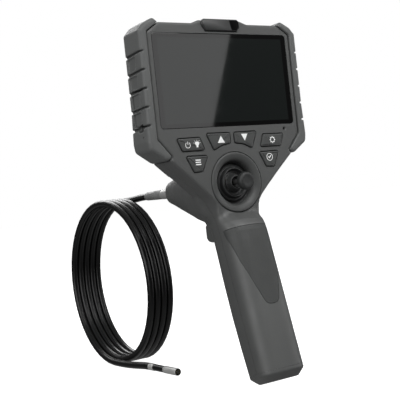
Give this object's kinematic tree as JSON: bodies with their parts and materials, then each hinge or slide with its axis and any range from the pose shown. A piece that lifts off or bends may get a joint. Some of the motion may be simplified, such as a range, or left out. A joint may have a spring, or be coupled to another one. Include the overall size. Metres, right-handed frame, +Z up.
{
  "type": "handheld inspection camera",
  "caption": "Handheld inspection camera: a screen with keys and a joystick on a tilted grip, and a steerable probe on a coiled tube.",
  "frame": {"origin": "middle of the grip, on its axis, where the hand holds it", "axes": "+X to the user's right, +Y away from the user and along the probe's exit, +Z up, parallel to the screen"},
  "size_m": [0.1434, 0.2941, 0.271],
  "materials": {
    "charcoal_plastic": "fine texture",
    "bumper_rubber": "matte",
    "grip_rubber": "matte",
    "badge_plastic": "gloss",
    "screen_glass": "gloss",
    "gasket_foam": "matte",
    "display_panel": "satin",
    "sensor_window": "gloss",
    "key_plastic": "matte",
    "circuit_board": "satin",
    "boot_rubber": "matte",
    "knob_rubber": "matte",
    "stick_nylon": "satin",
    "gimbal_plastic": "satin",
    "black_plastic": "satin",
    "tin_plate": "satin",
    "battery_wrap": "gloss",
    "black_steel": "satin",
    "probe_tube": "satin",
    "brushed_steel": "satin",
    "sleeve_rubber": "matte",
    "knuckle": "matte",
    "lens_glass": "gloss"
  },
  "bodies": {
    "housing": {"badge_plate": "badge_plastic", "base_cap": "charcoal_plastic", "battery_cell": "battery_wrap", "battery_clip": "tin_plate", "card_socket": "tin_plate", "case_screw_1": "black_steel", "case_screw_2": "black_steel", "case_screw_3": "black_steel", "case_screw_4": "black_steel", "case_screw_5": "black_steel", "case_screw_6": "black_steel", "display_panel": "display_panel", "front_shell": "charcoal_plastic", "grip_inlay": "grip_rubber", "joystick_base": "black_plastic", "joystick_boot": "boot_rubber", "joystick_ring": "charcoal_plastic", "keypad_board": "circuit_board", "left_bumper": "bumper_rubber", "light_sensor": "sensor_window", "main_board": "circuit_board", "probe_coil": "probe_tube", "probe_core": "probe_tube", "probe_ferrule": "brushed_steel", "probe_lead": "probe_tube", "probe_sleeve": "sleeve_rubber", "probe_tail": "probe_tube", "processor_shield": "tin_plate", "rear_shell": "charcoal_plastic", "right_bumper": "bumper_rubber", "screen_gasket": "gasket_foam", "screen_glass": "screen_glass", "steering_motor_left": "tin_plate", "steering_motor_right": "tin_plate", "tip_band": "brushed_steel", "trigger_seal": "boot_rubber", "trigger_switch": "black_plastic", "usb_socket": "tin_plate"},
    "joystick_gimbal": {"joystick_yoke": "gimbal_plastic"},
    "joystick": {"joystick_stick": "stick_nylon", "joystick_knob": "knob_rubber", "joystick_collar": "boot_rubber"},
    "trigger_button": {"trigger": "key_plastic"},
    "port_flap": {"port_cover": "bumper_rubber"},
    "drum_left": {"steering_drum_left": "gimbal_plastic"},
    "drum_right": {"steering_drum_right": "gimbal_plastic"},
    "neck_1": {"neck_link_1": "knuckle"},
    "neck_2": {"neck_link_2": "knuckle"},
    "neck_3": {"neck_link_3": "knuckle"},
    "tip_camera": {"camera_head": "brushed_steel", "lens_window": "lens_glass"},
    "key_power_cap": {"key_power": "key_plastic"},
    "key_menu_cap": {"key_menu": "key_plastic"},
    "key_up_cap": {"key_up": "key_plastic"},
    "key_down_cap": {"key_down": "key_plastic"},
    "key_settings_cap": {"key_settings": "key_plastic"},
    "key_ok_cap": {"key_ok": "key_plastic"}
  },
  "joints": [
    {"name": "joystick_pitch", "type": "hinge", "parent": "housing", "child": "joystick_gimbal", "pos_m": [0, 0.0223, 0.0888], "axis": [1, 0, 0], "range_deg": [-20, 20], "stiffness_Nm_per_rad": 0.03, "deforming": ["joystick_boot"]},
    {"name": "joystick_yaw", "type": "hinge", "parent": "joystick_gimbal", "child": "joystick", "pos_m": [0, 0.0223, 0.0888], "axis": [0, 0, 1], "range_deg": [-20, 20], "stiffness_Nm_per_rad": 0.03},
    {"name": "key_power_press", "type": "slide", "parent": "housing", "child": "key_power_cap", "axis": [0, 1, 0], "range_m": [0, 0.0008], "stiffness_N_per_m": 600},
    {"name": "key_menu_press", "type": "slide", "parent": "housing", "child": "key_menu_cap", "axis": [0, 1, 0], "range_m": [0, 0.0008], "stiffness_N_per_m": 600},
    {"name": "key_up_press", "type": "slide", "parent": "housing", "child": "key_up_cap", "axis": [0, 1, 0], "range_m": [0, 0.0008], "stiffness_N_per_m": 600},
    {"name": "key_down_press", "type": "slide", "parent": "housing", "child": "key_down_cap", "axis": [0, 1, 0], "range_m": [0, 0.0008], "stiffness_N_per_m": 600},
    {"name": "key_settings_press", "type": "slide", "parent": "housing", "child": "key_settings_cap", "axis": [0, 1, 0], "range_m": [0, 0.0008], "stiffness_N_per_m": 600},
    {"name": "key_ok_press", "type": "slide", "parent": "housing", "child": "key_ok_cap", "axis": [0, 1, 0], "range_m": [0, 0.0008], "stiffness_N_per_m": 600},
    {"name": "trigger_press", "type": "slide", "parent": "housing", "child": "trigger_button", "axis": [0, -1, 0], "range_m": [0, 0.003], "stiffness_N_per_m": 500},
    {"name": "port_cover_open", "type": "hinge", "parent": "housing", "child": "port_flap", "pos_m": [-0.0705, 0.0248, 0.1595], "axis": [0, 1, 0], "range_deg": [0, 110]},
    {"name": "steering_drum_left_turn", "type": "hinge", "parent": "housing", "child": "drum_left", "pos_m": [0, 0.0603, 0.085], "axis": [1, 0, 0], "range_deg": [-15, 15]},
    {"name": "steering_drum_right_turn", "type": "hinge", "parent": "housing", "child": "drum_right", "pos_m": [0, 0.0603, 0.085], "axis": [1, 0, 0], "range_deg": [-15, 15]},
    {"name": "neck_pitch_1", "type": "hinge", "parent": "housing", "child": "neck_1", "pos_m": [-0.0264, 0.11785, -0.0552], "axis": [1, 0, 0], "range_deg": [-20, 20]},
    {"name": "neck_yaw_1", "type": "hinge", "parent": "neck_1", "child": "neck_2", "pos_m": [-0.0264, 0.11325, -0.0552], "axis": [0, 0, 1], "range_deg": [-20, 20]},
    {"name": "neck_pitch_2", "type": "hinge", "parent": "neck_2", "child": "neck_3", "pos_m": [-0.0264, 0.10865, -0.0552], "axis": [1, 0, 0], "range_deg": [-20, 20]},
    {"name": "neck_yaw_2", "type": "hinge", "parent": "neck_3", "child": "tip_camera", "pos_m": [-0.0264, 0.10405, -0.0552], "axis": [0, 0, 1], "range_deg": [-20, 20]}
  ],
  "couplings": [
    {"joint": "steering_drum_left_turn", "follows": "joystick_pitch", "ratio": 0.6},
    {"joint": "steering_drum_right_turn", "follows": "joystick_yaw", "ratio": 0.6},
    {"joint": "neck_pitch_1", "follows": "joystick_pitch", "ratio": 1},
    {"joint": "neck_pitch_2", "follows": "joystick_pitch", "ratio": 1},
    {"joint": "neck_yaw_1", "follows": "joystick_yaw", "ratio": 1},
    {"joint": "neck_yaw_2", "follows": "joystick_yaw", "ratio": 1}
  ]
}
